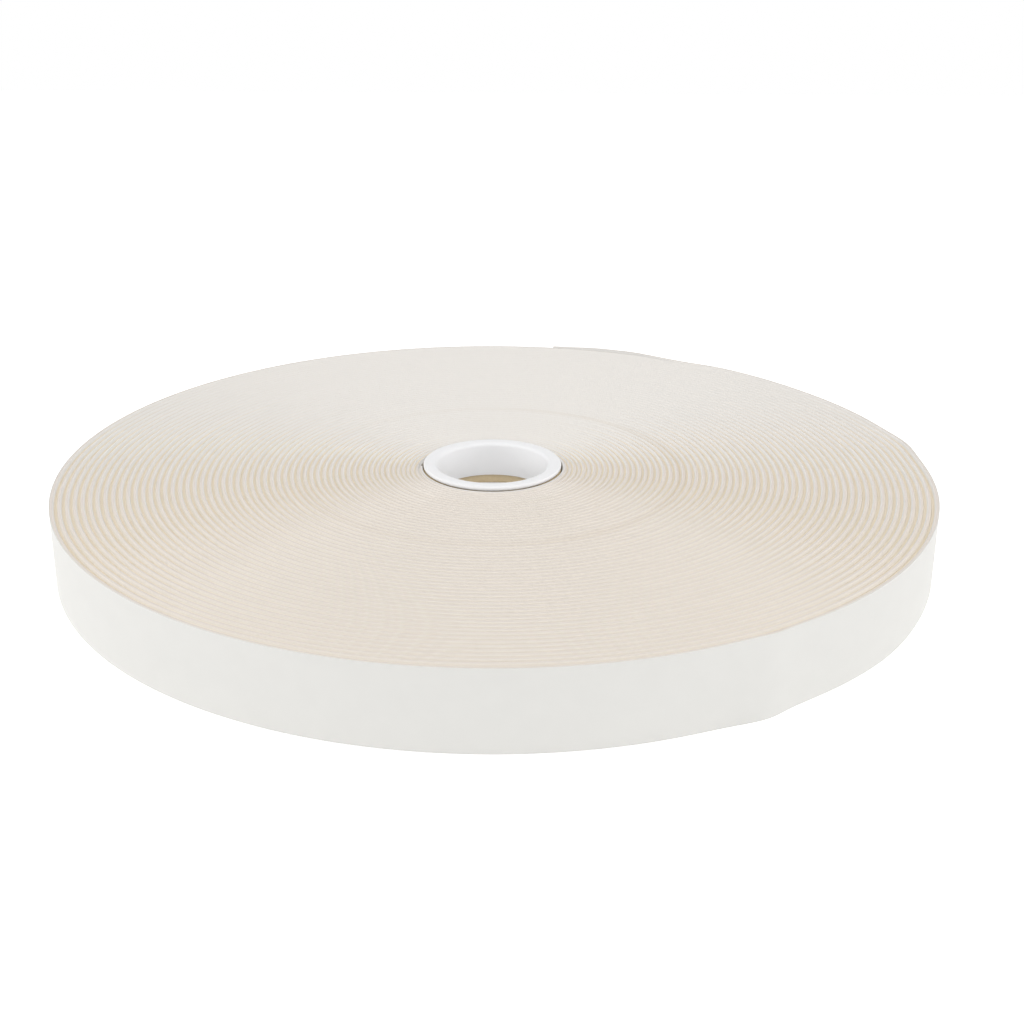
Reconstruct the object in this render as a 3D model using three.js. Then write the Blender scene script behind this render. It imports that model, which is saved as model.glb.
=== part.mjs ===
// A full roll of self-adhesive loop tape lying flat: a kraft board core with a moulded insert in
// each end, the tape wound round it with its release liner outwards, and a free end that peels off.
// Millimetres, +Z up along the roll's axis, origin at the middle of the underside.
import * as THREE from "three";

// Tape
const tapeWidth = 20;
const clothThickness = 1.2; // ground cloth with its pile pressed flat
const adhesiveThickness = 0.2;
const linerThickness = 0.15;
const layerGap = 0.1; // between cloth, adhesive and liner
const skinInset = 0.2; // adhesive and liner stand back from the cloth's edges

// Winding: the turns are squeezed near the core and loosen outwards
const turnCount = 56.724;
const loosePitch = 1.945; // growth per turn far from the core
const corePitch = 1.065; // growth per turn at the core
const easeTurns = 17; // turns over which the squeeze fades
const endAngle = THREE.MathUtils.degToRad(80.7); // where the free end lies, seen from above
const woundTurns = 24; // outer turns that are wound one by one
const stepsPerTurn = 36;

// Free end
const tailAngle = THREE.MathUtils.degToRad(20);
const tailSteps = 8;
const tailBulge = 1.2; // the free end stands off the roll between its root and its tip
const linerTipShare = 0.5; // outer share of the free end where the liner peels off

// Core
const coreHeight = 21.1;
const coreRadius = 18.4;
const boreRadius = 14.85;
const rimThickness = 1.5;
const skirtLength = 9; // insert from the face of its rim to the end of its skirt
const skirtWall = 1;
const boreRound = 1.4;
const rimRound = 0.8;
const roundSteps = 2;
const coreSides = 48;
const fitGap = 0.3;

// Starter strip, which holds the first turn on the core
const starterThickness = 0.15;
const starterWidth = 16;
const starterAngle = THREE.MathUtils.degToRad(90);
const starterSteps = 12;
const woundRadius = coreRadius + starterThickness + fitGap; // inner face of the first turn

// Distance of each layer's faces from the inner face of its turn
const cloth = [0, clothThickness];
const adhesive = [cloth[1] + layerGap, cloth[1] + layerGap + adhesiveThickness];
const liner = [adhesive[1] + layerGap, adhesive[1] + layerGap + linerThickness];
const clothSpan = [0, tapeWidth];
const skinSpan = [skinInset, tapeWidth - skinInset];

// Radius of a turn's inner face: a spiral whose pitch grows from corePitch to loosePitch.
function radiusAt(turn) {
  const squeezed = (loosePitch - corePitch) * easeTurns;
  return woundRadius + loosePitch * turn - squeezed * (1 - Math.exp(-turn / easeTurns));
}

function angleAt(turn) {
  return endAngle - 2 * Math.PI * (turnCount - turn);
}

// How far the free end stands off the roll: nothing at its root and tip, most in the middle.
function bulgeAt(turn) {
  const along = Math.max(0, (turn - rootTurn) / (turnCount - rootTurn));
  return tailBulge * Math.sin(Math.PI * along) ** 2;
}

const rootTurn = turnCount - tailAngle / (2 * Math.PI);
const firstWoundTurn = rootTurn - woundTurns;
const linerTipTurn = turnCount - (linerTipShare * tailAngle) / (2 * Math.PI);

// Part of a turn that a fit gap takes up at that turn's radius
function gapInTurns(turn) {
  return fitGap / (2 * Math.PI * radiusAt(turn));
}

// A closed band with a rectangular section that follows the winding between two turns. faces are
// its distances from the turn's inner face, span its lower and upper edge.
function bandGeometry(fromTurn, toTurn, steps, faces, span) {
  const positions = [];
  for (let i = 0; i <= steps; i++) {
    const turn = fromTurn + ((toTurn - fromTurn) * i) / steps;
    const radius = radiusAt(turn) + bulgeAt(turn);
    const [x, y] = [Math.cos(angleAt(turn)), Math.sin(angleAt(turn))];
    const [inner, outer] = faces.map((distance) => radius + distance);
    positions.push(inner * x, inner * y, span[0], outer * x, outer * y, span[0]);
    positions.push(outer * x, outer * y, span[1], inner * x, inner * y, span[1]);
  }
  return bandFromSections(positions, steps);
}

// Joins four-cornered sections into a closed band with a cap at each end.
function bandFromSections(positions, steps) {
  const corners = 4;
  const index = [0, 1, 2, 0, 2, 3];
  for (let i = 0; i < steps; i++) {
    for (let side = 0; side < corners; side++) {
      const near = i * corners + side;
      const nearNext = i * corners + ((side + 1) % corners);
      const far = near + corners;
      const farNext = nearNext + corners;
      index.push(near, far, farNext, near, farNext, nearNext);
    }
  }
  const last = steps * corners;
  index.push(last, last + 2, last + 1, last, last + 3, last + 2);
  const geometry = new THREE.BufferGeometry();
  geometry.setAttribute("position", new THREE.Float32BufferAttribute(positions, 3));
  geometry.setIndex(index);
  geometry.computeVertexNormals();
  return geometry;
}

// The least distance between the outer face of a wound band and the inner face of its next turns,
// taken at the corners and the middles of the outer face.
function leastGap(geometry) {
  const position = geometry.getAttribute("position");
  const corner = (section, side) =>
    new THREE.Vector3().fromBufferAttribute(position, section * 4 + side).setZ(0);
  const sections = position.count / 4;
  const inner = Array.from({ length: sections }, (_, i) => corner(i, 0));
  const outer = Array.from({ length: sections }, (_, i) => corner(i, 1));
  const segment = new THREE.Line3();
  const nearest = new THREE.Vector3();
  let least = Infinity;
  for (let i = 0; i < sections - 1; i++) {
    const points = [outer[i], outer[i].clone().lerp(outer[i + 1], 0.5)];
    for (let j = i + stepsPerTurn / 2; j < sections - 1; j++) {
      segment.set(inner[j], inner[j + 1]);
      for (const point of points) {
        segment.closestPointToPoint(point, true, nearest);
        least = Math.min(least, nearest.distanceTo(point));
      }
    }
  }
  return least;
}

// Length of tape on the roll, summed along the middle of the cloth.
function tapeLength() {
  const steps = Math.round(turnCount * stepsPerTurn);
  let length = 0;
  for (let i = 0; i < steps; i++) {
    const turn = (turnCount * (i + 0.5)) / steps;
    length += ((2 * Math.PI * turnCount) / steps) * (radiusAt(turn) + clothThickness / 2);
  }
  return length;
}

// A ring turned about Z from a closed outline of radius and height.
function turned(outline) {
  const points = outline.getPoints(roundSteps);
  const geometry = new THREE.LatheGeometry(points, coreSides);
  return geometry.rotateX(Math.PI / 2);
}

function coreTubeGeometry() {
  const inner = boreRadius + skirtWall + fitGap;
  const low = rimThickness + fitGap;
  const high = coreHeight - low;
  const outline = new THREE.Path();
  outline.moveTo(inner, low);
  outline.lineTo(coreRadius, low);
  outline.lineTo(coreRadius, high);
  outline.lineTo(inner, high);
  outline.lineTo(inner, low);
  return turned(outline);
}

// An insert stands on its rim: a flat ring with round edges, and a thin skirt that lines the bore.
function insertGeometry() {
  const skirtRadius = boreRadius + skirtWall;
  const outline = new THREE.Path();
  outline.moveTo(boreRadius + boreRound, 0);
  outline.lineTo(coreRadius - rimRound, 0);
  outline.quadraticCurveTo(coreRadius, 0, coreRadius, rimRound);
  outline.lineTo(coreRadius, rimThickness);
  outline.lineTo(skirtRadius, rimThickness);
  outline.lineTo(skirtRadius, skirtLength);
  outline.lineTo(boreRadius, skirtLength);
  outline.lineTo(boreRadius, boreRound);
  outline.quadraticCurveTo(boreRadius, 0, boreRadius + boreRound, 0);
  return turned(outline);
}

// A short band that hugs the core under the first turn.
function starterGeometry() {
  const inner = coreRadius + layerGap;
  const outer = inner + starterThickness;
  const low = (tapeWidth - starterWidth) / 2;
  const high = low + starterWidth;
  const positions = [];
  for (let i = 0; i <= starterSteps; i++) {
    const angle = angleAt(0) + starterAngle * (i / starterSteps - 0.5);
    const [x, y] = [Math.cos(angle), Math.sin(angle)];
    positions.push(inner * x, inner * y, low, outer * x, outer * y, low);
    positions.push(outer * x, outer * y, high, inner * x, inner * y, high);
  }
  return bandFromSections(positions, starterSteps);
}

// The inner turns as one ring, whose outside is the last of them and ends where the wound turns start.
function innerTurnsGeometry() {
  const outline = new THREE.Shape();
  for (let i = 0; i <= stepsPerTurn; i++) {
    const turn = firstWoundTurn - 1 + i / stepsPerTurn;
    const radius = radiusAt(turn) + clothThickness;
    const angle = angleAt(turn);
    if (i === 0) outline.moveTo(radius * Math.cos(angle), radius * Math.sin(angle));
    else outline.lineTo(radius * Math.cos(angle), radius * Math.sin(angle));
  }
  outline.closePath();
  const hole = new THREE.Path();
  hole.absarc(0, 0, woundRadius, 0, 2 * Math.PI, true);
  outline.holes.push(hole);
  const settings = { depth: tapeWidth, bevelEnabled: false, curveSegments: coreSides };
  return new THREE.ExtrudeGeometry(outline, settings);
}

// The outer turns, one unbroken band.
function outerTurnsGeometry() {
  const start = firstWoundTurn + gapInTurns(firstWoundTurn);
  const geometry = bandGeometry(start, rootTurn, woundTurns * stepsPerTurn, cloth, clothSpan);
  console.log(`outer_turns: least gap to itself ${leastGap(geometry).toFixed(2)} mm`);
  return geometry;
}

// Adhesive or liner on the last whole turn
function lastTurnGeometry(faces) {
  return bandGeometry(rootTurn - 1, rootTurn, stepsPerTurn, faces, skinSpan);
}

// A layer of the free end, from one turn to another
function tailGeometry(fromTurn, toTurn, faces) {
  const steps = Math.round((tailSteps * (toTurn - fromTurn)) / (turnCount - rootTurn));
  return bandGeometry(fromTurn + gapInTurns(fromTurn), toTurn, steps, faces, skinSpan);
}

function materialOf(color, roughness) {
  return new THREE.MeshStandardMaterial({ color, roughness, metalness: 0 });
}

function piece(name, geometry, color, roughness) {
  const mesh = new THREE.Mesh(geometry, materialOf(color, roughness));
  mesh.name = name;
  return mesh;
}

// A group whose origin is the fold line of a peeling layer, on the liner's outer face at a turn.
function foldGroup(turn) {
  const radius = radiusAt(turn) + bulgeAt(turn) + liner[1];
  const group = new THREE.Group();
  group.position.set(radius * Math.cos(angleAt(turn)), radius * Math.sin(angleAt(turn)), 0);
  return group;
}

// Colours, one per material
const kraft = 0xb79f7c;
const insertWhite = 0xececee;
const clothWhite = 0xe4ded4;
const adhesiveTan = 0xd8c8b0;
const linerWhite = 0xe8e7e3;
const maskingTan = 0xdcca9c;

const roll = new THREE.Group();
roll.add(piece("core_tube", coreTubeGeometry(), kraft, 0.9));
roll.add(piece("lower_core_insert", insertGeometry(), insertWhite, 0.4));
const upperInsert = piece("upper_core_insert", insertGeometry(), insertWhite, 0.4);
upperInsert.rotation.x = Math.PI;
upperInsert.position.z = coreHeight;
roll.add(upperInsert);
roll.add(piece("starter_strip", starterGeometry(), maskingTan, 0.8));
roll.add(piece("inner_turns", innerTurnsGeometry(), clothWhite, 0.9));
roll.add(piece("outer_turns", outerTurnsGeometry(), clothWhite, 0.9));
roll.add(piece("outer_adhesive", lastTurnGeometry(adhesive), adhesiveTan, 0.5));
roll.add(piece("outer_liner", lastTurnGeometry(liner), linerWhite, 0.6));

// The free end folds outwards at its root, and its liner folds back half way along it.
const tail = foldGroup(rootTurn);
const peeledLiner = foldGroup(linerTipTurn);
const tailFromRoll = tail.position.clone().negate();
const linerFromRoll = peeledLiner.position.clone().negate();
peeledLiner.position.sub(tail.position);
const layers = [
  [tail, "tail_tape", rootTurn, turnCount, cloth, clothWhite, 0.9, tailFromRoll],
  [tail, "tail_adhesive", rootTurn, turnCount, adhesive, adhesiveTan, 0.5, tailFromRoll],
  [tail, "tail_liner", rootTurn, linerTipTurn, liner, linerWhite, 0.6, tailFromRoll],
  [peeledLiner, "liner_tip", linerTipTurn, turnCount, liner, linerWhite, 0.6, linerFromRoll],
];
for (const [group, name, fromTurn, toTurn, faces, color, roughness, offset] of layers) {
  const geometry = tailGeometry(fromTurn, toTurn, faces).translate(...offset.toArray());
  group.add(piece(name, geometry, color, roughness));
}
tail.add(peeledLiner);
roll.add(tail);
console.log(`tape on the roll: ${(tapeLength() / 1000).toFixed(2)} m`);

export default roll;
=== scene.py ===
import math

import bpy
import numpy as np
from mathutils import Matrix, Vector


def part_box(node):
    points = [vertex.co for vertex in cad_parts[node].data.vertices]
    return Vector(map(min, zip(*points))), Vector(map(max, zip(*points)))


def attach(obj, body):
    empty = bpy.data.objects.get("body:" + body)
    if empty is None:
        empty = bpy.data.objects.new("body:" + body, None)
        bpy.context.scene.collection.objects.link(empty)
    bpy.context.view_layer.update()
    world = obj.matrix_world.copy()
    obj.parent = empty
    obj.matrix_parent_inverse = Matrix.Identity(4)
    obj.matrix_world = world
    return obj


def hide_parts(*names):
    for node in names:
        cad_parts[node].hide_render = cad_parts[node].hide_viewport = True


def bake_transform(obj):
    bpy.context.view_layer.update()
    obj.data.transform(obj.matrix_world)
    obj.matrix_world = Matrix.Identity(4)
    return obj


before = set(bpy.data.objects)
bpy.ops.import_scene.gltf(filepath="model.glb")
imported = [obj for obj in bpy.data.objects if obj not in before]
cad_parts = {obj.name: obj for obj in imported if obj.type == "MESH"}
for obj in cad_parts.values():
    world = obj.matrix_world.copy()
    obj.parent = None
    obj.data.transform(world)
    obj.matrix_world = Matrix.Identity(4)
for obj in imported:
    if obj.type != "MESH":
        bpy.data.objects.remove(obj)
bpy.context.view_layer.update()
mm = 0.001  # metres

# Camera: looks at the middle of the roll's upper face, from the front and a little above
camera = {
    "lens": 55.87,  # mm
    "sensor": 36,  # mm wide
    "distance": 425.3,  # mm, along the line of sight
    "elevation": 22.154,  # degrees
    "aside": 5.31,  # mm that the camera stands right of the roll's axis
    "rise": -12.34,  # mm that its line of sight passes over the middle of the face
    "roll": 0.318,  # degrees
}
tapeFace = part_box("outer_turns")[1].z  # height of the upper face, in metres
tapeWidth = tapeFace / mm


# The camera stands back from its aim along the line of sight, tilted down and rolled about that line
def placeCamera(c):
    tilt = math.radians(c["elevation"])
    up = Vector((0, math.sin(tilt), math.cos(tilt)))
    ahead = Vector((0, math.cos(tilt), -math.sin(tilt)))
    aim = Vector((c["aside"] * mm, 0, tapeFace)) + up * c["rise"] * mm
    data = bpy.data.cameras.new("camera")
    data.lens = c["lens"]
    data.sensor_width = c["sensor"]
    obj = bpy.data.objects.new("camera", data)
    bpy.context.scene.collection.objects.link(obj)
    rolled = Matrix.Rotation(math.radians(c["roll"]), 4, "Z")
    turn = Matrix.Rotation(math.pi / 2 - tilt, 4, "X") @ rolled
    obj.matrix_world = Matrix.Translation(aim - ahead * c["distance"] * mm) @ turn
    bpy.context.scene.camera = obj


placeCamera(camera)
print("camera placed")


# sRGB hex to a linear colour with alpha: the two-part sRGB curve, channel by channel
def hexColour(code):
    channels = np.array([int(code[i : i + 2], 16) for i in (1, 3, 5)]) / 255
    linear = np.where(channels <= 0.04045, channels / 12.92, ((channels + 0.055) / 1.055) ** 2.4)
    return (*linear.tolist(), 1.0)


# One node: settings go to its inputs by name or number, or else to its own properties.
# A colour Mix has its factor at 0, its colours at 6 and 7, and its result at output 2.
def addNode(tree, kind, settings=None, links=None):
    node = tree.nodes.new(kind)
    for key, value in (settings or {}).items():
        if isinstance(key, int) or key in node.inputs:
            node.inputs[key].default_value = value
        else:
            setattr(node, key, value)
    for key, socket in (links or {}).items():
        tree.links.new(socket, node.inputs[key])
    return node


# A material whose constants stand on the shader's own sockets
def newMaterial(name, settings):
    material = bpy.data.materials.new(name)
    material.use_nodes = True
    tree = material.node_tree
    shader = tree.nodes["Principled BSDF"]
    for key, value in settings.items():
        shader.inputs[key].default_value = value
    return material, tree, shader


# Patterns on the tape read tapePlace, in mm: distance along the tape, across its layers, up its width.
# Patterns on the core read object coordinates, in metres.
perMetre = 1000  # mm
waveRepeat = 0.31416  # repeat of a wave texture's bands at scale 1

# A faint ring of painted shade on the upper face, where the face steps down slightly, a little off the
# roll's middle
faceShadeRing = {
    "radius": 50.6,  # mm, as are the next two
    "centre": (-0.3, -1.7),
    "spread": 1.0,
    # at even angles, from -X round by -Y
    "strength": [0.25, 0.43, 0.35, 0.75, 0.45, 0.85, 0.75, 0.3, 0.2, 0.25],
    "tint": "#faf8f5",  # times the colour under it, at full strength
}


# The colour times the ring's tint of painted shade, by the ring's strength at each point
def withShadeRing(tree, colour):
    mark = addNode(tree, "ShaderNodeAttribute", {"attribute_name": "faceShadeRing"})
    tinted = addNode(
        tree,
        "ShaderNodeMix",
        {"data_type": "RGBA", "blend_type": "MULTIPLY", 7: hexColour(faceShadeRing["tint"])},
        {0: mark.outputs["Fac"], 6: colour},
    )
    return tinted.outputs[2]


# Woven nylon ground: a tight narrow weave, whose selvedge shows its weft turning back at each pick.
# Made of a slow change of tone and fine ribs in the normal: a dull, faintly ribbed edge.
groundCloth = {
    "light": "#e3dbd3",
    "shade": "#e0d7cf",
    "roughness": 0.85,
    "sheen": 0.15,
    "pick": 0.62,  # mm between weft turns along the edge
    "patch": 9.0,  # mm, slow change of tone along the tape
    "bump": 0.008,  # mm
    "bumpShare": 0.3,
}


def groundClothMaterial(g):
    material, tree, shader = newMaterial(
        "wovenNylonGround",
        {"Roughness": g["roughness"], "IOR": 1.53, "Sheen Weight": g["sheen"], "Sheen Roughness": 0.5},
    )
    place = addNode(tree, "ShaderNodeAttribute", {"attribute_name": "tapePlace"}).outputs["Vector"]
    weft = addNode(
        tree,
        "ShaderNodeTexWave",
        {"Scale": waveRepeat / g["pick"], "Distortion": 0.6, "Detail": 1.0, "bands_direction": "X"},
        {"Vector": place},
    )
    patch = addNode(
        tree,
        "ShaderNodeTexNoise",
        {"Scale": 1 / g["patch"], "Detail": 3.0},
        {"Vector": place},
    )
    tone = addNode(
        tree,
        "ShaderNodeMix",
        {"data_type": "RGBA", 6: hexColour(g["shade"]), 7: hexColour(g["light"])},
        {0: patch.outputs["Fac"]},
    )
    bump = addNode(
        tree,
        "ShaderNodeBump",
        {"Strength": g["bumpShare"], "Distance": g["bump"] * mm},
        {"Height": weft.outputs["Fac"]},
    )
    tree.links.new(withShadeRing(tree, tone.outputs[2]), shader.inputs["Base Color"])
    tree.links.new(bump.outputs["Normal"], shader.inputs["Normal"])
    return material


# Looped nylon pile: a mat of fine curled filaments, soft and without shine, white at each edge's top.
# Deep in the grooves between turns it turns tan: painted warm bounce light, the colour light takes there.
loopPile = {
    "edge": "#eceae7",
    "light": "#fbefda",
    "shade": "#f7ead2",
    "roughness": 0.95,
    "sheen": 0.2,
    "paintedBounceDepth": (0.7, 1.0),  # share of the groove's depth where white turns to the tan of painted warm bounce light
    "curl": 0.5,  # mm across one curl
    "bump": 0.02,  # mm
    "bumpShare": 0.3,
}


def loopPileMaterial(p):
    material, tree, shader = newMaterial(
        "loopedNylonPile",
        {"Roughness": p["roughness"], "IOR": 1.53, "Sheen Weight": p["sheen"], "Sheen Roughness": 0.6},
    )
    place = addNode(tree, "ShaderNodeAttribute", {"attribute_name": "tapePlace"}).outputs["Vector"]
    curls = addNode(
        tree,
        "ShaderNodeTexNoise",
        {"Scale": 1 / p["curl"], "Detail": 2.0, "Distortion": 0.8},
        {"Vector": place},
    )
    tone = addNode(
        tree,
        "ShaderNodeMix",
        {"data_type": "RGBA", 6: hexColour(p["shade"]), 7: hexColour(p["light"])},
        {0: curls.outputs["Fac"]},
    )
    share = addNode(tree, "ShaderNodeAttribute", {"attribute_name": "grooveShare"})
    start, full = p["paintedBounceDepth"]
    # The pile's colour runs from white to painted warm bounce light by its depth in the groove
    deep = addNode(
        tree,
        "ShaderNodeMapRange",
        {"From Min": start, "From Max": full, "interpolation_type": "SMOOTHSTEP"},
        {"Value": share.outputs["Fac"]},
    )
    colour = addNode(
        tree,
        "ShaderNodeMix",
        {"data_type": "RGBA", 6: hexColour(p["edge"])},
        {0: deep.outputs["Result"], 7: tone.outputs[2]},
    )
    bump = addNode(
        tree,
        "ShaderNodeBump",
        {"Strength": p["bumpShare"], "Distance": p["bump"] * mm},
        {"Height": curls.outputs["Fac"]},
    )
    tree.links.new(withShadeRing(tree, colour.outputs[2]), shader.inputs["Base Color"])
    tree.links.new(bump.outputs["Normal"], shader.inputs["Normal"])
    return material


# Acrylic pressure-sensitive adhesive: a pale tacky film, glossier than the cloth, dusty at its edges.
# One noise drives tone, gloss and normal, so dusty flecks are also the dull ones.
adhesiveFilm = {
    "clear": "#eae4dc",
    "dusty": "#e6dfd6",
    "roughness": (0.3, 0.6),  # clear and dusty
    "fleck": 1.4,  # mm
    "bump": 0.01,  # mm
    "bumpShare": 0.2,
}


def adhesiveMaterial(a):
    material, tree, shader = newMaterial("acrylicAdhesive", {"IOR": 1.48})
    place = addNode(tree, "ShaderNodeAttribute", {"attribute_name": "tapePlace"}).outputs["Vector"]
    fleck = addNode(
        tree,
        "ShaderNodeTexNoise",
        {"Scale": 1 / a["fleck"], "Detail": 4.0},
        {"Vector": place},
    )
    tone = addNode(
        tree,
        "ShaderNodeMix",
        {"data_type": "RGBA", 6: hexColour(a["clear"]), 7: hexColour(a["dusty"])},
        {0: fleck.outputs["Fac"]},
    )
    gloss = addNode(
        tree,
        "ShaderNodeMapRange",
        {"To Min": a["roughness"][0], "To Max": a["roughness"][1]},
        {"Value": fleck.outputs["Fac"]},
    )
    bump = addNode(
        tree,
        "ShaderNodeBump",
        {"Strength": a["bumpShare"], "Distance": a["bump"] * mm},
        {"Height": fleck.outputs["Fac"]},
    )
    tree.links.new(withShadeRing(tree, tone.outputs[2]), shader.inputs["Base Color"])
    tree.links.new(gloss.outputs["Result"], shader.inputs["Roughness"])
    tree.links.new(bump.outputs["Normal"], shader.inputs["Normal"])
    return material


# Silicone coated release paper: calendered, so nearly smooth, with a faint cloudy formation.
# Long soft ripples in the normal keep the outer wall from looking like a lathe-turned ring.
releasePaper = {
    "light": "#e4e3e0",
    "shade": "#e0dfdc",
    "roughness": 0.5,
    "cloud": 5.0,  # mm across a cloud of fibres
    "ripple": 14.0,  # mm between soft ripples along the tape
    "rippleLean": 0.02,  # ripples per mm up the tape's width
    "bump": 0.12,  # mm
    "bumpShare": 0.4,
}

# The same paper between two turns, painted lighter and warmer: painted warm bounce light from the
# grooves.
bounceLitPaper = {**releasePaper, "light": "#ede6da", "shade": "#e9e0d1"}


def releasePaperMaterial(name, r):
    material, tree, shader = newMaterial(name, {"Roughness": r["roughness"], "IOR": 1.5})
    place = addNode(tree, "ShaderNodeAttribute", {"attribute_name": "tapePlace"}).outputs["Vector"]
    cloud = addNode(
        tree,
        "ShaderNodeTexNoise",
        {"Scale": 1 / r["cloud"], "Detail": 5.0},
        {"Vector": place},
    )
    tone = addNode(
        tree,
        "ShaderNodeMix",
        {"data_type": "RGBA", 6: hexColour(r["shade"]), 7: hexColour(r["light"])},
        {0: cloud.outputs["Fac"]},
    )
    stretched = addNode(
        tree,
        "ShaderNodeMapping",
        {"Scale": (1 / r["ripple"], 0, r["rippleLean"])},
        {"Vector": place},
    )
    ripple = addNode(
        tree,
        "ShaderNodeTexNoise",
        {"Scale": 1.0, "Detail": 1.0},
        {"Vector": stretched.outputs["Vector"]},
    )
    bump = addNode(
        tree,
        "ShaderNodeBump",
        {"Strength": r["bumpShare"], "Distance": r["bump"] * mm},
        {"Height": ripple.outputs["Fac"]},
    )
    tree.links.new(withShadeRing(tree, tone.outputs[2]), shader.inputs["Base Color"])
    tree.links.new(bump.outputs["Normal"], shader.inputs["Normal"])
    return material


# Injection moulded polypropylene: white with a cool cast, nearly matt, with a trace of mould texture.
insertPlastic = {
    "white": "#f8f8f9",
    "shade": "#f5f5f6",
    "roughness": (0.52, 0.68),
    "flow": 6.0,  # mm, faint flow marks in tone and gloss
    "grit": 0.25,  # mm, mould texture
    "bump": 0.02,  # mm
    "bumpShare": 0.15,
}


def insertPlasticMaterial(p):
    material, tree, shader = newMaterial("mouldedPolypropylene", {"IOR": 1.49})
    place = addNode(tree, "ShaderNodeTexCoord").outputs["Object"]
    flow = addNode(
        tree,
        "ShaderNodeTexNoise",
        {"Scale": perMetre / p["flow"], "Detail": 2.0},
        {"Vector": place},
    )
    grit = addNode(
        tree,
        "ShaderNodeTexNoise",
        {"Scale": perMetre / p["grit"], "Detail": 1.0},
        {"Vector": place},
    )
    tone = addNode(
        tree,
        "ShaderNodeMix",
        {"data_type": "RGBA", 6: hexColour(p["shade"]), 7: hexColour(p["white"])},
        {0: flow.outputs["Fac"]},
    )
    gloss = addNode(
        tree,
        "ShaderNodeMapRange",
        {"To Min": p["roughness"][0], "To Max": p["roughness"][1]},
        {"Value": flow.outputs["Fac"]},
    )
    bump = addNode(
        tree,
        "ShaderNodeBump",
        {"Strength": p["bumpShare"], "Distance": p["bump"] * mm},
        {"Height": grit.outputs["Fac"]},
    )
    tree.links.new(tone.outputs[2], shader.inputs["Base Color"])
    tree.links.new(gloss.outputs["Result"], shader.inputs["Roughness"])
    tree.links.new(bump.outputs["Normal"], shader.inputs["Normal"])
    return material


# Spiral wound kraft board: brown paper with long fibres and the slanted seam of its strips.
kraftBoard = {
    "light": "#ebdab9",
    "dark": "#d7c29c",
    "seam": "#bda67f",
    "roughness": 0.9,
    "fibre": 1.1,  # mm along a fibre
    "fibreShape": 3,  # times as long round the tube as up it
    "strip": 40.0,  # mm that the seam climbs in one turn
    "seamWidth": 0.012,  # share of the strip
    "bump": 0.06,  # mm
    "bumpShare": 0.4,
}


def kraftBoardMaterial(k):
    material, tree, shader = newMaterial(
        "spiralKraftBoard",
        {"Roughness": k["roughness"], "IOR": 1.45},
    )
    place = addNode(tree, "ShaderNodeTexCoord").outputs["Object"]
    flat = addNode(tree, "ShaderNodeMapping", {"Scale": (1, 1, k["fibreShape"])}, {"Vector": place})
    fibre = addNode(
        tree,
        "ShaderNodeTexNoise",
        {"Scale": perMetre / k["fibre"], "Detail": 4.0, "Distortion": 0.5},
        {"Vector": flat.outputs["Vector"]},
    )
    tone = addNode(
        tree,
        "ShaderNodeMix",
        {"data_type": "RGBA", 6: hexColour(k["dark"]), 7: hexColour(k["light"])},
        {0: fibre.outputs["Fac"]},
    )
    # height plus the share of a turn at this angle, in strips: a whole number on the seam
    axes = addNode(tree, "ShaderNodeSeparateXYZ", links={"Vector": place})
    angle = addNode(
        tree,
        "ShaderNodeMath",
        {"operation": "ARCTAN2"},
        {0: axes.outputs["Y"], 1: axes.outputs["X"]},
    )
    climb = addNode(
        tree,
        "ShaderNodeMath",
        {"operation": "MULTIPLY", 1: 1 / (2 * math.pi)},
        {0: angle.outputs["Value"]},
    )
    rise = addNode(
        tree,
        "ShaderNodeMath",
        {"operation": "MULTIPLY_ADD", 1: perMetre / k["strip"]},
        {0: axes.outputs["Z"], 2: climb.outputs["Value"]},
    )
    share = addNode(tree, "ShaderNodeMath", {"operation": "FRACT"}, {0: rise.outputs["Value"]})
    seam = addNode(
        tree,
        "ShaderNodeMapRange",
        {"From Min": 0.0, "From Max": k["seamWidth"], "To Min": 1.0, "To Max": 0.0},
        {"Value": share.outputs["Value"]},
    )
    board = addNode(
        tree,
        "ShaderNodeMix",
        {"data_type": "RGBA", 7: hexColour(k["seam"])},
        {0: seam.outputs["Result"], 6: tone.outputs[2]},
    )
    bump = addNode(
        tree,
        "ShaderNodeBump",
        {"Strength": k["bumpShare"], "Distance": k["bump"] * mm},
        {"Height": fibre.outputs["Fac"]},
    )
    tree.links.new(board.outputs[2], shader.inputs["Base Color"])
    tree.links.new(bump.outputs["Normal"], shader.inputs["Normal"])
    return material


# Creped masking paper: thin tan paper, finely wrinkled across its length.
crepePaper = {
    "light": "#e3d3a9",
    "dark": "#d3bf90",
    "roughness": 0.85,
    "wrinkle": 0.5,  # mm
    "wrinkleShape": 0.15,  # drawn out up the strip by the inverse of this
    "bump": 0.05,  # mm
    "bumpShare": 0.5,
}


def crepePaperMaterial(c):
    material, tree, shader = newMaterial("crepePaper", {"Roughness": c["roughness"], "IOR": 1.48})
    place = addNode(tree, "ShaderNodeTexCoord").outputs["Object"]
    upright = addNode(
        tree,
        "ShaderNodeMapping",
        {"Scale": (1, 1, c["wrinkleShape"])},
        {"Vector": place},
    )
    wrinkle = addNode(
        tree,
        "ShaderNodeTexNoise",
        {"Scale": perMetre / c["wrinkle"], "Detail": 2.0},
        {"Vector": upright.outputs["Vector"]},
    )
    tone = addNode(
        tree,
        "ShaderNodeMix",
        {"data_type": "RGBA", 6: hexColour(c["dark"]), 7: hexColour(c["light"])},
        {0: wrinkle.outputs["Fac"]},
    )
    bump = addNode(
        tree,
        "ShaderNodeBump",
        {"Strength": c["bumpShare"], "Distance": c["bump"] * mm},
        {"Height": wrinkle.outputs["Fac"]},
    )
    tree.links.new(tone.outputs[2], shader.inputs["Base Color"])
    tree.links.new(bump.outputs["Normal"], shader.inputs["Normal"])
    return material


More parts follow.
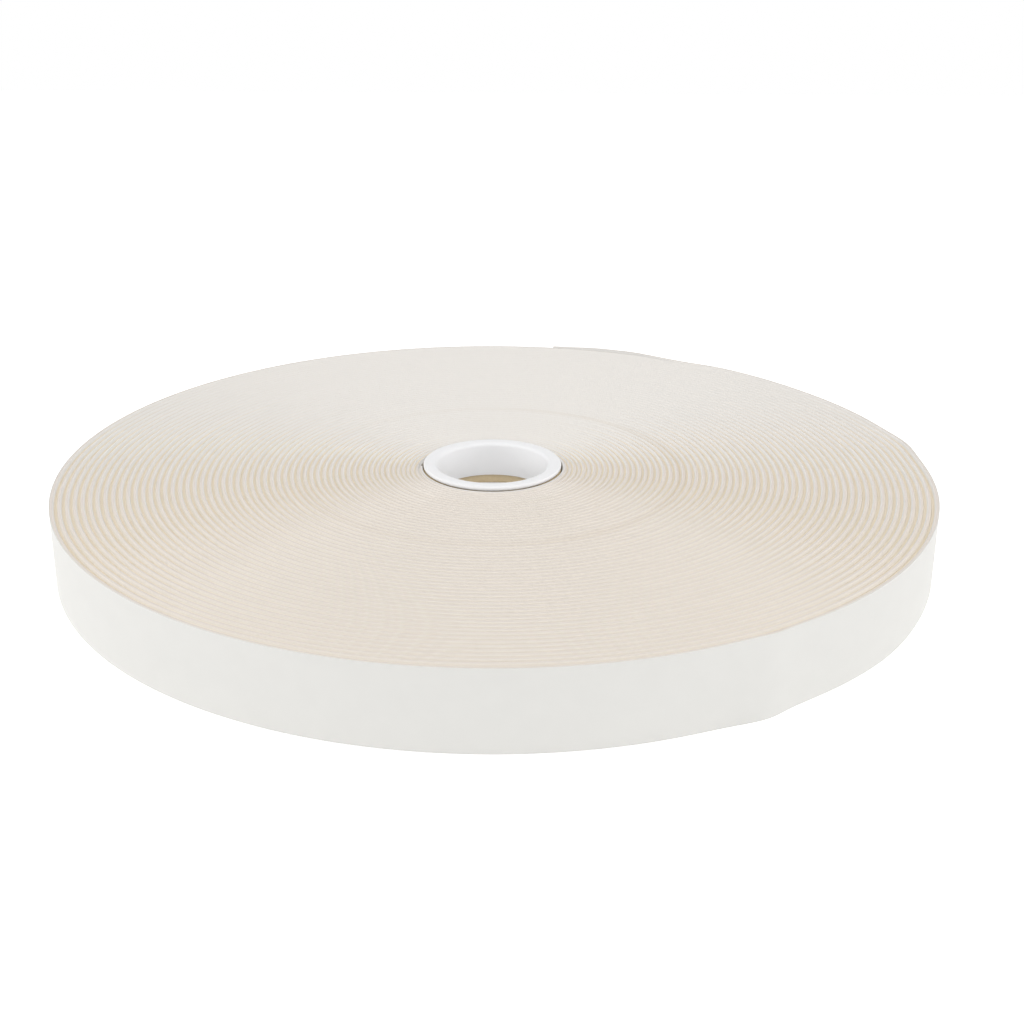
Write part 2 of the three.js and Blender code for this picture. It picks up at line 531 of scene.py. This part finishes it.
groundClothSkin = groundClothMaterial(groundCloth)
loopPileSkin = loopPileMaterial(loopPile)
adhesiveSkin = adhesiveMaterial(adhesiveFilm)
releasePaperSkin = releasePaperMaterial("releasePaper", releasePaper)
bounceLitPaperSkin = releasePaperMaterial("bounceLitReleasePaper", bounceLitPaper)
insertPlasticSkin = insertPlasticMaterial(insertPlastic)
kraftBoardSkin = kraftBoardMaterial(kraftBoard)
crepePaperSkin = crepePaperMaterial(crepePaper)
print("materials made")

# The winding, in mm and degrees: the same spiral that the solids follow, squeezed towards the core
winding = {
    "turnCount": 56.724,
    "loosePitch": 1.945,  # growth per turn far from the core
    "corePitch": 1.065,  # growth per turn at the core
    "easeTurns": 17,  # turns over which the squeeze fades
    "endAngle": 80.7,  # where the free end lies, seen from above
    "tailAngle": 20,  # length of the free end
    "linerTipShare": 0.5,  # outer share of the free end where the liner peels off
    "coreClearance": 0.45,  # first turn off the core, with the starter strip between
    "startEase": 0.08,  # part of a turn over which a turn climbs onto the tape's start
    "startTurns": 5,  # turns over which that climb spreads into an even spiral
    "seed": 11,
}
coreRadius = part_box("core_tube")[1].x / mm
rootTurn = winding["turnCount"] - winding["tailAngle"] / 360
linerTipTurn = winding["turnCount"] - winding["linerTipShare"] * winding["tailAngle"] / 360
draw = np.random.default_rng(winding["seed"])


# Random values at even knots, eased from one to the next
def smoothNoise(x, spacing, knots):
    place = np.clip(x / spacing, 0, len(knots) - 1.001)
    low = np.floor(place).astype(int)
    share = place - low
    ease = share * share * (3 - 2 * share)
    return knots[low] * (1 - ease) + knots[low + 1] * ease


# Unevenness of the winding, in mm: slow waves round the roll that pass from turn to turn,
# tight and slack turns, and edges that stand a little high or low
unevenness = {
    "wave": 0.08,
    "waveCounts": (2, 3, 5),  # waves round the roll
    "wavePhase": 6.28,  # radians, the most that a wave starts at
    "waveTurns": 9,  # turns over which a wave moves on by a radian
    "settleTurns": 6,  # turns at both ends of the tape where waves and slack fade in
    "slack": 0.07,
    "slackTurns": 1.7,  # turns from a tight one to a slack one
    "slackKnots": 60,  # enough for every turn
    "edge": 0.05,
    "edgeTurns": 0.37,  # turns from a high place to a low one
    "edgeKnots": 200,
}
waves = [(count, draw.uniform(0, unevenness["wavePhase"])) for count in unevenness["waveCounts"]]
slackKnots = draw.uniform(-1, 1, unevenness["slackKnots"])
edgeKnots = draw.uniform(-1, 1, unevenness["edgeKnots"])

# Kinks of the last turns: angle and spread in degrees, mm outwards and upwards at the upper edge,
# mm more outwards at the lower edge, and turns over which it fades inwards
kinks = [
    {"angle": 10.0, "spread": 3.2, "out": 1.0, "up": 0.0, "lowerOut": 0.0, "fade": 4.0},
    {"angle": 36.0, "spread": 7.0, "out": -0.45, "up": 0.0, "lowerOut": 0.0, "fade": 5.0},
    {"angle": 58.5, "spread": 3.0, "out": -0.35, "up": -0.25, "lowerOut": 0.0, "fade": 4.0},
    {"angle": -59.5, "spread": 2.6, "out": 0.0, "up": 0.0, "lowerOut": 1.1, "fade": 0.8},
    {"angle": -58.3, "spread": 1.5, "out": 0.45, "up": 0.0, "lowerOut": -0.2, "fade": 2.5},
    {"angle": -38.0, "spread": 7.0, "out": 0.2, "up": 0.0, "lowerOut": 0.35, "fade": 12.0},
    {"angle": -174.0, "spread": 26.0, "out": -0.65, "up": 0.0, "lowerOut": 0.0, "fade": 30.0},
    {"angle": -8.0, "spread": 14.0, "out": 0.22, "up": 0.0, "lowerOut": 0.0, "fade": 20.0},
]
tailBulge = {"height": 1.2, "rise": (62.5, 68.5), "fall": (73.0, 79.5)}  # mm, and angles in degrees


# Smooth step from 0 at the first value to 1 at the second
def smoothStep(x, span):
    share = np.clip((x - span[0]) / (span[1] - span[0]), 0, 1)
    return share * share * (3 - 2 * share)


# Angle in degrees: the free end's, less a whole circle for each turn before it
def angleAt(turn):
    return winding["endAngle"] - 360 * (winding["turnCount"] - turn)


# The first turns lie round the core and climb at the tape's start: a staircase that fades into a spiral
def climbAt(turn):
    whole = np.floor(turn + 0.5)
    stair = whole - 1 + smoothStep(turn - whole, (-winding["startEase"], winding["startEase"]))
    return turn + np.exp(-turn / winding["startTurns"]) * (np.maximum(stair, 0) - turn)


# Radius of a turn's inner face: pitch grows from corePitch to loosePitch by an exponential,
# plus three waves round the roll and the slack of each turn
def radiusAt(turn):
    climb = climbAt(turn)
    squeezed = (winding["loosePitch"] - winding["corePitch"]) * winding["easeTurns"]
    eased = squeezed * (1 - np.exp(-climb / winding["easeTurns"]))
    radius = coreRadius + winding["coreClearance"] + winding["loosePitch"] * climb - eased
    angle = np.radians(angleAt(turn))
    left = winding["turnCount"] - turn
    settle = np.clip(turn / unevenness["settleTurns"], 0, 1)
    settle = settle * np.clip(left / unevenness["settleTurns"], 0, 1)
    drift = turn / unevenness["waveTurns"]
    for count, phase in waves:
        radius = radius + unevenness["wave"] / count * settle * np.cos(count * angle + phase + drift)
    slack = smoothNoise(turn, unevenness["slackTurns"], slackKnots)
    return radius + unevenness["slack"] * settle * slack


# Thickness of a turn: from its inner face to the next turn's
def pitchAt(turn):
    return radiusAt(turn + 1) - radiusAt(turn)


# Moves of a point on the tape away from the even spiral, outwards and upwards: a bell curve of the
# angle for each kink, fading turn by turn, the free end's bulge, and the edge's own unevenness
def windingShift(turn, height):
    angle = angleAt(turn)
    outward = np.zeros(np.broadcast(turn, height).shape)
    upward = np.zeros_like(outward)
    lower = 1 - height / tapeWidth
    for kink in kinks:
        off = (angle - kink["angle"] + 180) % 360 - 180
        turnsIn = np.round((kink["angle"] + off - angle) / 360)
        weight = np.exp(-0.5 * (off / kink["spread"]) ** 2 - turnsIn / kink["fade"])
        outward = outward + weight * (kink["out"] + kink["lowerOut"] * lower)
        upward = upward + weight * kink["up"] * height / tapeWidth
    free = smoothStep(angle, tailBulge["rise"]) - smoothStep(angle, tailBulge["fall"])
    outward = outward + tailBulge["height"] * np.where(turn >= rootTurn, free, 0)
    edge = unevenness["edge"] * smoothNoise(turn, unevenness["edgeTurns"], edgeKnots)
    return outward, upward + edge * (1 - lower)


# A point of the tape: turn, distance from the turn's inner face and height, to x, y, z in metres
def onTape(turn, offset, height):
    outward, upward = windingShift(turn, height)
    radius = radiusAt(turn) + offset + outward
    angle = np.radians(angleAt(turn))
    return np.stack([radius * np.cos(angle), radius * np.sin(angle), height + upward], -1) * mm


samples = {"length": 8000, "steps": 6000, "tail": 400}  # points on a curve that is summed or looked up


# Length of the tape from its start: a sum of short arcs along the middle of its thickness
def lengthAlong(turn):
    fine = np.linspace(0, winding["turnCount"], samples["length"])
    between = (fine[1:] + fine[:-1]) / 2
    middle = radiusAt(between) + pitchAt(between) / 2
    arcs = np.cumsum(np.diff(fine) * 2 * math.pi * middle)
    return np.interp(turn, fine, np.concatenate([[0], arcs]))


# Layers of a turn from its inner face outwards: the pile takes what the squeeze leaves
tape = {
    "ground": (0.32, 0.47),  # mm at the core and far from it
    "adhesive": (0.18, 0.24),
    "liner": (0.12, 0.12),
    "gap": (0.06, 0.10),
    "gapFilled": 0.8,  # share of the gap that the next turn's pile reaches across
    "edge": 0.10,  # the cloth's edges stand this far inside the roll's faces
    "clothRows": 3,  # rows of points up the free end's faces, where it bends
    "pileRows": 7,
    "linerRows": 5,
    "linerRound": 0.03,  # mm that the corners of the liner's edges fall
}

# Loops of the pile, modelled where the free end shows its face; wound turns hide theirs.
# Real loops stand closer and finer: these are drawn coarser, at a size that still shows.
loops = {
    "spacing": 0.8,  # mm
    "shake": 0.3,  # share of the spacing
    "height": 0.5,  # mm, as are the next three
    "span": 0.75,
    "thread": 0.24,  # thickness
    "margin": 0.7,  # free of loops at the tape's edges
    "foot": 0.82,  # painted shade: the face between them is coloured as at this share of a groove's depth
    "rootEase": 5,  # degrees of the roll over which that face draws back at the free end's root
    "rings": 6,  # along a loop
    "sides": 4,  # of its thread
}
rootSpan = (rootTurn, rootTurn + loops["rootEase"] / 360)

# The groove between the edges of two turns of cloth. The layers outside the cloth form its steep wall:
# each has the share of the depth, and the mm on the last turn, by which it stands back or falls.
groove = {
    "depth": 0.85,  # mm far from the core
    "firstTurn": (0.6, 1.2),  # turns over which the first groove opens
    "lastTurn": (1.1, 0.9),  # turns before the free end where the last, shallow edge begins
    "cloth": (0.18, 0.05),  # fall of the cloth's outer corner
    "adhesive": (0.18, 0.06),
    "adhesiveFall": (0.56, 0.03),
    "liner": (0.74, 0.0),
    "linerFall": (0.2, 0.02),
}


# Depth of the groove on a turn's inner side: shallower where the pitch is smaller, none at the core
def grooveAt(turn):
    opened = smoothStep(turn, groove["firstTurn"])
    return groove["depth"] * pitchAt(turn) / winding["loosePitch"] * opened


# A drop on a turn's outer side, as a column for bandPiece: a share of the groove, easing into
# its own small value on the last turn
def dropAt(turn, key):
    share, last = groove[key]
    drop = share * grooveAt(turn + 1)
    start, full = groove["lastTurn"]
    lastShare = smoothStep(turn, (rootTurn - start, rootTurn - full))
    return (drop + (last - drop) * lastShare)[:, None]


# Inner and outer face of each layer, as mm from the turn's inner face: thicknesses grow away from the
# core by the same exponential as the pitch, and are laid from the outside inwards
def layerFaces(turn):
    pitch = pitchAt(turn)
    ease = 1 - np.exp(-turn / winding["easeTurns"])
    press = np.minimum(1, pitch / winding["corePitch"])
    layers = ("ground", "adhesive", "liner", "gap")
    thick = {k: press * (tape[k][0] + (tape[k][1] - tape[k][0]) * ease) for k in layers}
    outer = pitch - thick["gap"]
    linerIn = outer - thick["liner"]
    adhesiveIn = linerIn - thick["adhesive"]
    groundIn = adhesiveIn - thick["ground"]
    reach = tape["gapFilled"] * thick["gap"]
    return {
        "pile": (-reach, groundIn),
        "pileFoot": (loops["height"] * smoothStep(turn, rootSpan) - reach, groundIn),
        "ground": (groundIn, adhesiveIn),
        "adhesive": (adhesiveIn, linerIn),
        "liner": (linerIn, outer),
    }


# Turns from one to another, in steps that keep each chord within a limit of the curve: a chord that
# spans an angle a leaves a gap of radius times (1 - cos(a / 2)). The last turn shows its outline.
stepLimit = {
    "wound": 0.02,  # mm
    "last": 0.002,
    "lastTurn": (1.2, 1.05),  # turns before the free end where the steps grow finer
}


def stepsAlong(fromTurn, toTurn):
    fine = np.linspace(fromTurn, toTurn, samples["steps"])
    start, full = stepLimit["lastTurn"]
    last = smoothStep(fine, (rootTurn - start, rootTurn - full))
    limit = stepLimit["wound"] * (stepLimit["last"] / stepLimit["wound"]) ** last
    density = np.pi / np.arccos(1 - limit / radiusAt(fine))
    steps = np.concatenate([[0], np.cumsum(np.diff(fine) * (density[1:] + density[:-1]) / 2)])
    return np.interp(np.linspace(0, steps[-1], int(steps[-1]) + 2), steps, fine)


sharpAngle = 30  # degrees between faces that meet in a crease


# A mesh object from whole arrays: points, quads, and end faces of any number of corners
def addPiece(name, points, quads, ends, skin):
    mesh = bpy.data.meshes.new(name)
    corners = np.concatenate([quads.ravel(), *ends]).astype(np.int32)
    sizes = np.concatenate([np.full(len(quads), 4), [len(e) for e in ends]]).astype(np.int32)
    starts = np.concatenate([[0], np.cumsum(sizes)[:-1]]).astype(np.int32)
    mesh.vertices.add(len(points))
    mesh.vertices.foreach_set("co", points.astype(np.float32).ravel())
    mesh.loops.add(len(corners))
    mesh.loops.foreach_set("vertex_index", corners)
    mesh.polygons.add(len(sizes))
    mesh.polygons.foreach_set("loop_start", starts)
    mesh.update(calc_edges=True)
    mesh.validate()
    mesh.shade_smooth()
    mesh.set_sharp_from_angle(angle=math.radians(sharpAngle))
    mesh.materials.append(skin)
    obj = bpy.data.objects.new(name, mesh)
    bpy.context.scene.collection.objects.link(obj)
    return obj


# Faces of a grid of rows and columns whose columns close on themselves, and its rows too if asked
def gridFaces(rows, columns, closeRows):
    row = np.arange(rows if closeRows else rows - 1)[:, None]
    column = np.arange(columns)[None, :]
    nextRow = (row + 1) % rows
    nextColumn = (column + 1) % columns
    near = row * columns
    far = nextRow * columns
    faces = np.stack([near + column, near + nextColumn, far + nextColumn, far + column], -1)
    return faces.reshape(-1, 4)


# Edges of the layers as seen in section: share of the thickness from the inner face, and how far the
# edge drops there. The cloth leans gently outwards; the pile falls steeply inwards to the groove's floor.
flatEdge = [(0, 1), (0.12, 0.3), (0.5, 0), (0.88, 0.3), (1, 1)]
outerSlope = [(0, 0), (0.1, 0.02), (0.3, 0.16), (1, 1)]
innerSlope = [(0, 1), (0.52, 1), (0.64, 0.8), (0.96, 0.05), (1, 0)]
evenSlope = [(0, 0), (1, 1)]


# A closed section across the tape, from the inner face over the upper edge and down the outer face:
# share of the thickness, share of the height, and share of the edges' drop, with rows closer at the edges
def tapeSection(edge, rows):
    across, drop = np.array(edge).T
    between = (1 - np.cos(np.pi * np.arange(1, rows + 1) / (rows + 1))) / 2
    share = np.concatenate([across, np.ones(rows), across[::-1], np.zeros(rows)])
    height = np.concatenate([np.ones(len(edge)), between[::-1], np.zeros(len(edge)), between])
    lower = np.concatenate([drop, np.zeros(rows), -drop[::-1], np.zeros(rows)])
    return share, height, lower


# Values on a mesh's points, for its material
def addValues(obj, name, kind, field, values):
    attribute = obj.data.attributes.new(name, kind, "POINT")
    attribute.data.foreach_set(field, values.astype(np.float32).ravel())


# Strength of the painted shade ring on the face: a bell curve of the distance from its circle, eased
# round it
def shadeRingAt(points):
    x, y = np.moveaxis(points[..., :2] / mm - np.array(faceShadeRing["centre"]), -1, 0)
    strength = np.array(faceShadeRing["strength"])
    around = smoothNoise(np.degrees(np.arctan2(y, x)) + 180, 360 / (len(strength) - 1), strength)
    return around * np.exp(-0.5 * ((np.hypot(x, y) - faceShadeRing["radius"]) / faceShadeRing["spread"]) ** 2)


# A band of one layer along the winding: the section carried along the turns, standing back from the
# roll's faces and with its edge dropping by a depth
def bandPiece(name, layer, turns, back, skin, edge, depth, rows=0):
    turn = turns[:, None]
    inner, outer = layerFaces(turn)[layer]
    share, heightShare, lower = tapeSection(edge, rows)
    low = tape["edge"] + back
    high = tapeWidth - low
    offset = inner + (outer - inner) * share
    height = low + (high - low) * heightShare - lower * depth + 0 * turn
    points = onTape(turn, offset, height)
    count, columns = offset.shape
    ends = [np.arange(columns)[::-1], np.arange(columns) + (count - 1) * columns]
    obj = addPiece(name, points.reshape(-1, 3), gridFaces(count, columns, False), ends, skin)
    place = np.stack([lengthAlong(turn) + 0 * offset, offset, height], -1)
    addValues(obj, "tapePlace", "FLOAT_VECTOR", "vector", place)
    # The free end's pile face gets painted shade between its loops, through grooveShare
    foot = loops["foot"] if layer == "pileFoot" else 0
    deep = np.maximum(np.abs(lower), foot * (share == 0)) * smoothStep(turn, groove["firstTurn"])
    addValues(obj, "grooveShare", "FLOAT", "value", deep)
    addValues(obj, "faceShadeRing", "FLOAT", "value", shadeRingAt(points) * (heightShare == 1))
    return obj


# The wound tape
woundTurns = stepsAlong(0, rootTurn)
innerTurns = woundTurns[woundTurns <= rootTurn - 1]
lastTurn = woundTurns[woundTurns >= innerTurns[-1]]
woundGround = bandPiece(
    "wound_ground_cloth",
    "ground",
    woundTurns,
    0,
    groundClothSkin,
    outerSlope,
    dropAt(woundTurns, "cloth"),
)
woundPile = bandPiece(
    "wound_loop_pile",
    "pile",
    woundTurns,
    0,
    loopPileSkin,
    innerSlope,
    grooveAt(woundTurns)[:, None],
)
woundAdhesive = bandPiece(
    "wound_adhesive",
    "adhesive",
    woundTurns,
    dropAt(woundTurns, "adhesive"),
    adhesiveSkin,
    evenSlope,
    dropAt(woundTurns, "adhesiveFall"),
)
# The inner turns' liner carries painted warm bounce light; the last turn's outer liner does not
woundLiner = bandPiece(
    "wound_liner",
    "liner",
    innerTurns,
    dropAt(innerTurns, "liner"),
    bounceLitPaperSkin,
    evenSlope,
    dropAt(innerTurns, "linerFall"),
)
outerLiner = bandPiece(
    "outer_liner_turn",
    "liner",
    lastTurn,
    0,
    releasePaperSkin,
    flatEdge,
    tape["linerRound"],
    tape["linerRows"],
)
for piece, slot, nodes in [
    (woundGround, "loop_cloth", ["inner_turns", "outer_turns"]),
    (woundPile, "loop_cloth", ["inner_turns", "outer_turns"]),
    (woundAdhesive, "adhesive_film", ["inner_turns", "outer_adhesive"]),
    (woundLiner, "liner_paper", ["inner_turns"]),
    (outerLiner, "liner_paper", ["outer_liner"]),
]:
    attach(piece, "roll")
    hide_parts(*nodes)
print("wound tape: %.2f m" % (lengthAlong(rootTurn) * mm))

# The free end: the same layers, which bend away from the roll at its root
tailTurns = stepsAlong(rootTurn, winding["turnCount"])
linerRootTurns = np.append(tailTurns[tailTurns < linerTipTurn], linerTipTurn)
linerTipTurns = np.insert(tailTurns[tailTurns > linerTipTurn], 0, linerTipTurn)
tailGround = bandPiece(
    "tail_ground_cloth",
    "ground",
    tailTurns,
    0,
    groundClothSkin,
    outerSlope,
    dropAt(tailTurns, "cloth"),
    tape["clothRows"],
)
tailPile = bandPiece(
    "tail_loop_pile",
    "pileFoot",
    tailTurns,
    0,
    loopPileSkin,
    innerSlope,
    grooveAt(tailTurns)[:, None],
    tape["pileRows"],
)
tailAdhesive = bandPiece(
    "tail_adhesive_film",
    "adhesive",
    tailTurns,
    dropAt(tailTurns, "adhesive"),
    adhesiveSkin,
    evenSlope,
    dropAt(tailTurns, "adhesiveFall"),
    tape["clothRows"],
)
tailLiner = bandPiece(
    "tail_liner_root",
    "liner",
    linerRootTurns,
    0,
    releasePaperSkin,
    flatEdge,
    tape["linerRound"],
    tape["linerRows"],
)
linerTip = bandPiece(
    "tail_liner_tip",
    "liner",
    linerTipTurns,
    0,
    releasePaperSkin,
    flatEdge,
    tape["linerRound"],
    tape["linerRows"],
)


# Loops on the free end's inner face: half ellipses of thread on a shaken grid, each turned its own way.
# A ring of the thread is the arch's place plus the thread's radius, outwards from the arch and across it.
def loopPiece(name, p, skin):
    start, end = lengthAlong(np.array([rootTurn, winding["turnCount"]]))
    margin = tape["edge"] + p["margin"]
    along = np.arange(start + p["margin"], end - p["margin"], p["spacing"])
    up = np.arange(margin, tapeWidth - tape["edge"] - p["margin"], p["spacing"])
    along, up = (a.reshape(-1, 1, 1) for a in np.meshgrid(along, up))
    shake = draw.uniform(-p["shake"], p["shake"], (2, *along.shape)) * p["spacing"]
    lean = draw.uniform(0, 2 * np.pi, along.shape)
    arch = np.linspace(0, np.pi, p["rings"])[None, :, None]
    side = np.linspace(0, 2 * np.pi, p["sides"], endpoint=False)[None, None, :]
    thick = p["thread"] / 2
    across = -np.cos(arch) * (p["span"] / 2 + thick * np.cos(side))
    stand = np.sin(arch) * (p["height"] - thick + thick * np.cos(side))
    beside = thick * np.sin(side) + 0 * arch
    placeAlong = along + shake[0] + across * np.cos(lean) - beside * np.sin(lean)
    placeUp = up + shake[1] + across * np.sin(lean) + beside * np.cos(lean)
    fine = np.linspace(rootTurn, winding["turnCount"], samples["tail"])
    turn = np.interp(placeAlong, lengthAlong(fine), fine)
    offset = layerFaces(turn)["pile"][0] + p["height"] - stand
    points = onTape(turn, offset, placeUp).reshape(-1, 3)
    ringPoints = p["rings"] * p["sides"]
    first = np.arange(len(lean))[:, None, None] * ringPoints
    tube = gridFaces(p["rings"], p["sides"], False)
    cap = np.arange(p["sides"])
    caps = np.array([cap[::-1], cap + ringPoints - p["sides"]])
    quads = (first + np.concatenate([tube, caps])).reshape(-1, 4)
    obj = addPiece(name, points, quads, [], skin)
    place = np.stack([placeAlong, offset, placeUp], -1)
    addValues(obj, "tapePlace", "FLOAT_VECTOR", "vector", place)
    return obj


tailLoops = loopPiece("tail_pile_loops", loops, loopPileSkin)


for piece, slot, node in [
    (tailGround, "loop_cloth", "tail_tape"),
    (tailPile, "loop_cloth", "tail_tape"),
    (tailLoops, "loop_cloth", "tail_tape"),
    (tailAdhesive, "adhesive_film", "tail_adhesive"),
    (tailLiner, "liner_paper", "tail_liner"),
]:
    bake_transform(piece)
    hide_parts(node)
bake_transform(linerTip)
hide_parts("liner_tip")
print("free end: %.1f mm" % (lengthAlong(winding["turnCount"]) - lengthAlong(rootTurn)))

# Core: a moulded insert in each end of a board tube, in mm
core = {
    "boreRadius": 14.85,
    "skirtLength": 9.3,
    "skirtWall": 1.0,
    "skirtRound": 0.1,
    "rimThickness": 1.5,
    "boreRound": 1.0,
    "rimRound": 0.5,
    "underRound": 0.9,  # the rim's edge on the tape's side
    "cornerRound": 0.2,  # between the rim and the skirt
    "tubeGap": 0.3,  # between the tube and the inserts
    "tubeRound": 0.2,
    "sides": 160,  # round the axis
    "roundSteps": 7,  # points on a rounding
    "smallSteps": 3,  # and on a small one
}
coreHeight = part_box("upper_core_insert")[1].z / mm


# Part of a circle in the section, from one angle to another in degrees
def arc(centre, radius, fromAngle, toAngle, steps):
    angle = np.radians(np.linspace(fromAngle, toAngle, steps))
    return np.stack([centre[0] + radius * np.cos(angle), centre[1] + radius * np.sin(angle)], -1)


# A closed section of radius and height turned about Z
def turnedPiece(name, section, skin):
    angle = np.linspace(0, 2 * np.pi, core["sides"], endpoint=False)[:, None]
    radius = section[:, 0][None, :]
    height = section[:, 1][None, :] + 0 * angle
    points = np.stack([radius * np.cos(angle), radius * np.sin(angle), height], -1) * mm
    quads = gridFaces(core["sides"], len(section), True)
    return addPiece(name, points.reshape(-1, 3), quads, [], skin)


# An insert stands on its rim, and its section runs anticlockwise from the foot of the bore. Faces
# point outwards round a clockwise one: the lower is reversed, and mirroring turns the upper.
def insertSection(c, upper):
    bore, skirt = c["boreRadius"], c["boreRadius"] + c["skirtWall"]
    rim, top = c["rimThickness"], c["skirtLength"]
    edge, under, corner, end = c["rimRound"], c["underRound"], c["cornerRound"], c["skirtRound"]
    steps, few = c["roundSteps"], c["smallSteps"]
    section = np.concatenate(
        [
            arc((bore + c["boreRound"], c["boreRound"]), c["boreRound"], 180, 270, steps),
            arc((coreRadius - edge, edge), edge, -90, 0, steps),
            arc((coreRadius - under, rim - under), under, 0, 90, steps),
            arc((skirt + corner, rim + corner), corner, 270, 180, few),
            arc((skirt - end, top - end), end, 0, 90, few),
            arc((bore + end, top - end), end, 90, 180, few),
        ]
    )
    if upper:
        return np.stack([section[:, 0], coreHeight - section[:, 1]], -1)
    return section[::-1]


# The board tube lies between the two rims, outside the skirts: a rectangle with rounded corners
def tubeSection(c):
    inside = c["boreRadius"] + c["skirtWall"] + c["tubeGap"] + c["tubeRound"]
    outside = coreRadius - c["tubeRound"]
    low = c["rimThickness"] + c["tubeGap"] + c["tubeRound"]
    high = coreHeight - low
    corners = [(inside, low, 270), (inside, high, 180), (outside, high, 90), (outside, low, 0)]
    return np.concatenate(
        [arc((x, z), c["tubeRound"], turn, turn - 90, c["smallSteps"]) for x, z, turn in corners]
    )


lowerInsert = turnedPiece("lower_insert_moulding", insertSection(core, False), insertPlasticSkin)
upperInsert = turnedPiece("upper_insert_moulding", insertSection(core, True), insertPlasticSkin)
boardTube = turnedPiece("board_core_tube", tubeSection(core), kraftBoardSkin)
for piece, slot, node in [
    (lowerInsert, "insert_plastic", "lower_core_insert"),
    (upperInsert, "insert_plastic", "upper_core_insert"),
    (boardTube, "kraft_board", "core_tube"),
]:
    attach(piece, "roll")
    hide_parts(node)
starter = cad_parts["starter_strip"]
starter.data.materials.clear()
starter.data.materials.append(crepePaperSkin)
print("core made")
# Floor, light and background: three soft boxes and an even fill, in metres and watts
studio = {
    "floor": "#f6f6f4",
    "floorHalf": 0.9,  # from the middle to a side
    "floorGlow": 0.5,  # shown to seenRays only, so that the paper is white to its edge
    "fill": 0.48,
    "lamps": {
        "left_softbox": {"place": (-1.0, 0, 0.5), "size": (0.7, 0.9), "power": 4.6},
        "right_softbox": {"place": (1.0, 0, 0.5), "size": (0.7, 0.9), "power": 4.3},
        "front_softbox": {"place": (0, -0.97, 0.65), "size": (0.9, 0.9), "power": 4.7},
    },
}
pureWhite = (1, 1, 1, 1)


# 1 for rays that show the background, straight from the camera, mirrored or through something
# clear, and 0 for the rest
def seenRays(tree):
    path = addNode(tree, "ShaderNodeLightPath")
    first = addNode(
        tree,
        "ShaderNodeMath",
        {"operation": "MAXIMUM"},
        {0: path.outputs["Is Camera Ray"], 1: path.outputs["Is Glossy Ray"]},
    )
    both = addNode(
        tree,
        "ShaderNodeMath",
        {"operation": "MAXIMUM"},
        {0: first.outputs["Value"], 1: path.outputs["Is Transmission Ray"]},
    )
    return both.outputs["Value"]


# A matt paper floor that keeps the roll's shadow
def makeFloor(s):
    half = s["floorHalf"]
    corners = np.array([[-half, -half, 0], [half, -half, 0], [half, half, 0], [-half, half, 0]])
    material, tree, shader = newMaterial(
        "paperFloor",
        {"Roughness": 0.9, "Base Color": hexColour(s["floor"]), "Emission Color": pureWhite},
    )
    glow = addNode(
        tree,
        "ShaderNodeMath",
        {"operation": "MULTIPLY", 1: s["floorGlow"]},
        {0: seenRays(tree)},
    )
    tree.links.new(glow.outputs["Value"], shader.inputs["Emission Strength"])
    addPiece("floor", corners, np.array([[0, 1, 2, 3]]), [], material)


# The world fills the shadows, and shows as plain white
def makeWorld(s):
    world = bpy.data.worlds.new("studio")
    bpy.context.scene.world = world
    world.use_nodes = True
    tree = world.node_tree
    fill = tree.nodes["Background"]
    fill.inputs["Color"].default_value = pureWhite
    fill.inputs["Strength"].default_value = s["fill"]
    white = addNode(tree, "ShaderNodeBackground", {"Color": pureWhite, "Strength": 1.0})
    mix = addNode(
        tree,
        "ShaderNodeMixShader",
        links={0: seenRays(tree), 1: fill.outputs[0], 2: white.outputs[0]},
    )
    tree.links.new(mix.outputs[0], tree.nodes["World Output"].inputs["Surface"])


# A soft box that faces the roll's foot
def addLamp(name, lamp):
    data = bpy.data.lights.new(name, "AREA")
    data.shape = "RECTANGLE"
    data.size, data.size_y = lamp["size"]
    data.energy = lamp["power"]
    obj = bpy.data.objects.new(name, data)
    obj.location = lamp["place"]
    obj.rotation_mode = "QUATERNION"
    obj.rotation_quaternion = (-Vector(lamp["place"])).to_track_quat("-Z", "Y")
    bpy.context.scene.collection.objects.link(obj)


bpy.context.scene.view_settings.view_transform = "Standard"
makeFloor(studio)
makeWorld(studio)
for name, lamp in studio["lamps"].items():
    addLamp(name, lamp)
print("studio lit")
